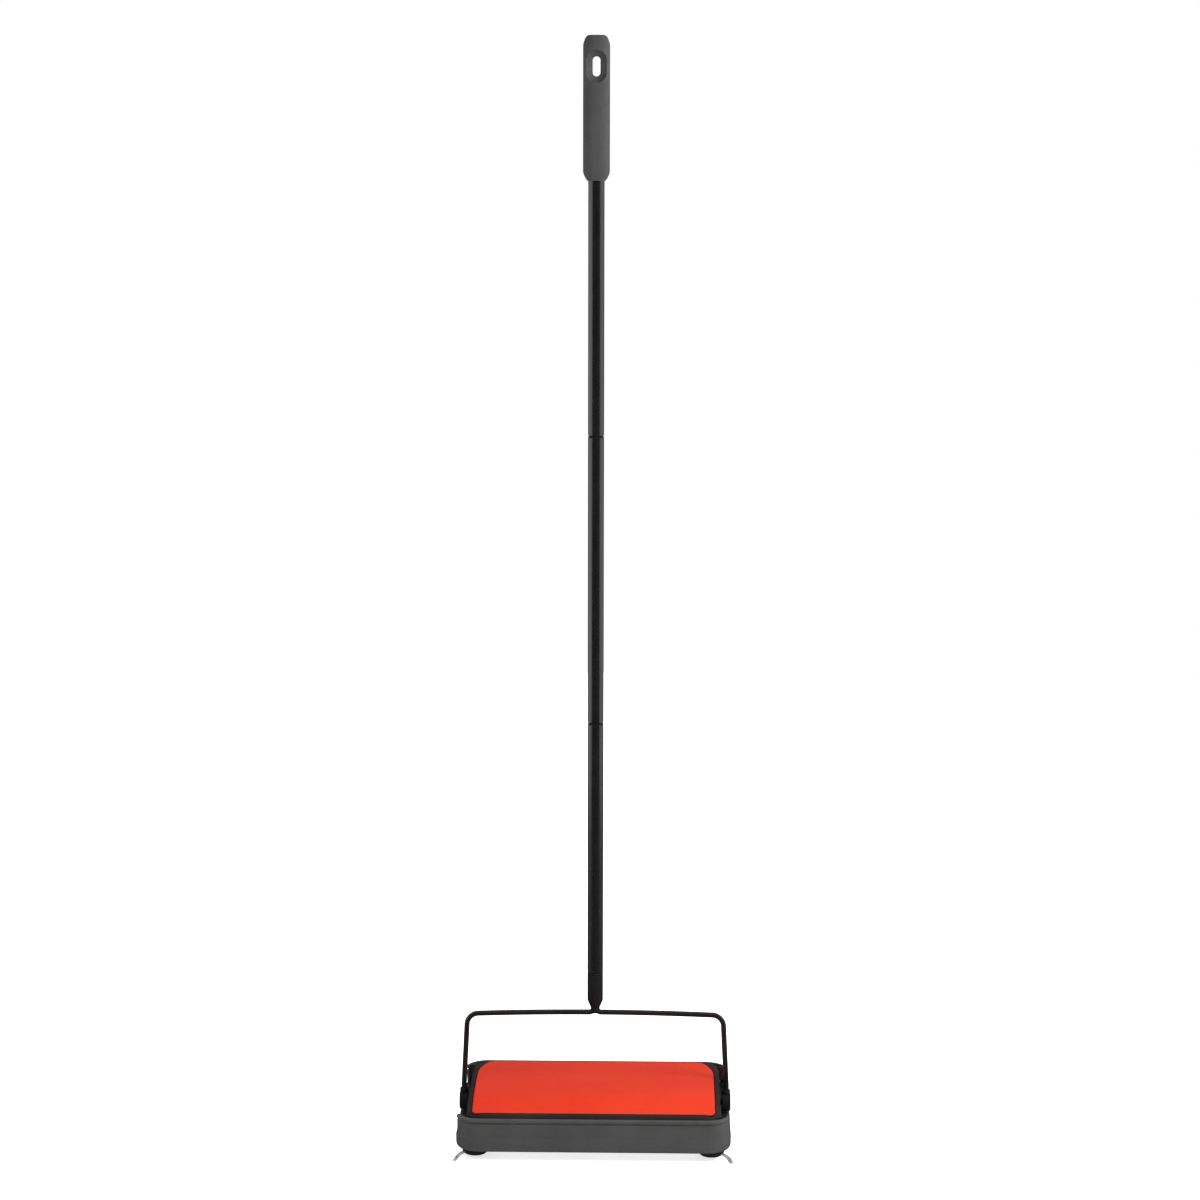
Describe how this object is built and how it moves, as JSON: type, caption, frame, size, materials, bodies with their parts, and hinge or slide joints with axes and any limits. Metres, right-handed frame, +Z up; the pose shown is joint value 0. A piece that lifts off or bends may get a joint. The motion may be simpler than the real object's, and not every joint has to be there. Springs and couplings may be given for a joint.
{
  "type": "carpet sweeper",
  "caption": "Push-along carpet sweeper: a low wheeled head with a brush roll and drop-down dust pans, under a slim jointed pole on a swinging wire bail.",
  "frame": {"origin": "on the floor under the middle of the head", "axes": "+Z up along the upright pole, +X to the right seen from the front, and the front of the head faces -Y"},
  "size_m": [0.2822, 0.1956, 1.1107],
  "materials": {
    "charcoal_plastic": "fine matte texture",
    "black_plastic": "satin",
    "red_plastic": "gloss",
    "grey_plastic": "satin",
    "black_enamel": "gloss",
    "grey_enamel": "satin",
    "steel": "bright",
    "rubber": "matte",
    "bristle": "bristle",
    "pale_bristle": "bristle"
  },
  "bodies": {
    "head": {"base_housing": "charcoal_plastic", "cover_frame": "black_plastic", "top_panel": "red_plastic", "spindle_bush_left": "grey_plastic", "spindle_bush_right": "grey_plastic", "wheel_axle_left_front": "steel", "wheel_axle_left_rear": "steel", "wheel_axle_right_front": "steel", "wheel_axle_right_rear": "steel", "whisk_foot_left_front": "black_plastic", "whisk_foot_left_rear": "black_plastic", "whisk_foot_right_front": "black_plastic", "whisk_foot_right_rear": "black_plastic", "whisk_left_front": "pale_bristle", "whisk_left_rear": "pale_bristle", "whisk_right_front": "pale_bristle", "whisk_right_rear": "pale_bristle", "cover_screw_left_front": "steel", "cover_screw_left_rear": "steel", "cover_screw_right_front": "steel", "cover_screw_right_rear": "steel", "front_pan_spring": "steel", "rear_pan_spring": "steel"},
    "brush_roll": {"brush_core": "grey_plastic", "brush_spindle": "steel", "bristle_row_1": "bristle", "bristle_row_2": "bristle", "bristle_row_3": "bristle", "bristle_row_4": "bristle", "drive_pulley_left": "black_plastic", "drive_pulley_right": "black_plastic"},
    "handle": {"bail": "grey_enamel", "bail_hub_left": "black_plastic", "bail_hub_right": "black_plastic", "hub_clip_left": "steel", "hub_clip_right": "steel", "pole_socket": "black_plastic", "lower_tube": "black_enamel", "middle_tube": "black_enamel", "upper_tube": "black_enamel", "lower_coupling": "black_plastic", "middle_coupling": "black_plastic", "grip": "black_plastic"},
    "left_front_wheel": {"wheel_left_front": "grey_plastic", "tyre_left_front": "rubber"},
    "left_rear_wheel": {"wheel_left_rear": "grey_plastic", "tyre_left_rear": "rubber"},
    "right_front_wheel": {"wheel_right_front": "grey_plastic", "tyre_right_front": "rubber"},
    "right_rear_wheel": {"wheel_right_rear": "grey_plastic", "tyre_right_rear": "rubber"},
    "front_pan": {"front_dust_pan": "grey_plastic"},
    "rear_pan": {"rear_dust_pan": "grey_plastic"}
  },
  "joints": [
    {"name": "handle_pitch", "type": "hinge", "parent": "head", "child": "handle", "pos_m": [0, 0, 0.033], "axis": [1, 0, 0], "range_deg": [-78, 78]},
    {"name": "brush_spin", "type": "hinge", "parent": "head", "child": "brush_roll", "pos_m": [0, 0, 0.026], "axis": [1, 0, 0], "continuous": true},
    {"name": "left_front_wheel_spin", "type": "hinge", "parent": "head", "child": "left_front_wheel", "pos_m": [-0.1155, -0.036, 0.019], "axis": [1, 0, 0], "continuous": true},
    {"name": "left_rear_wheel_spin", "type": "hinge", "parent": "head", "child": "left_rear_wheel", "pos_m": [-0.1155, 0.036, 0.019], "axis": [1, 0, 0], "continuous": true},
    {"name": "right_front_wheel_spin", "type": "hinge", "parent": "head", "child": "right_front_wheel", "pos_m": [0.1155, -0.036, 0.019], "axis": [1, 0, 0], "continuous": true},
    {"name": "right_rear_wheel_spin", "type": "hinge", "parent": "head", "child": "right_rear_wheel", "pos_m": [0.1155, 0.036, 0.019], "axis": [1, 0, 0], "continuous": true},
    {"name": "front_pan_hinge", "type": "hinge", "parent": "head", "child": "front_pan", "pos_m": [0, -0.078, 0.014], "axis": [-1, 0, 0], "range_deg": [0, 45], "stiffness_Nm_per_rad": 0.02, "springref_deg": -114.59},
    {"name": "rear_pan_hinge", "type": "hinge", "parent": "head", "child": "rear_pan", "pos_m": [0, 0.078, 0.014], "axis": [1, 0, 0], "range_deg": [0, 45], "stiffness_Nm_per_rad": 0.02, "springref_deg": -114.59}
  ],
  "couplings": [
    {"joint": "left_front_wheel_spin", "follows": "brush_spin", "ratio": -0.9144},
    {"joint": "left_rear_wheel_spin", "follows": "brush_spin", "ratio": -0.9144},
    {"joint": "right_front_wheel_spin", "follows": "brush_spin", "ratio": -0.9144},
    {"joint": "right_rear_wheel_spin", "follows": "brush_spin", "ratio": -0.9144}
  ]
}
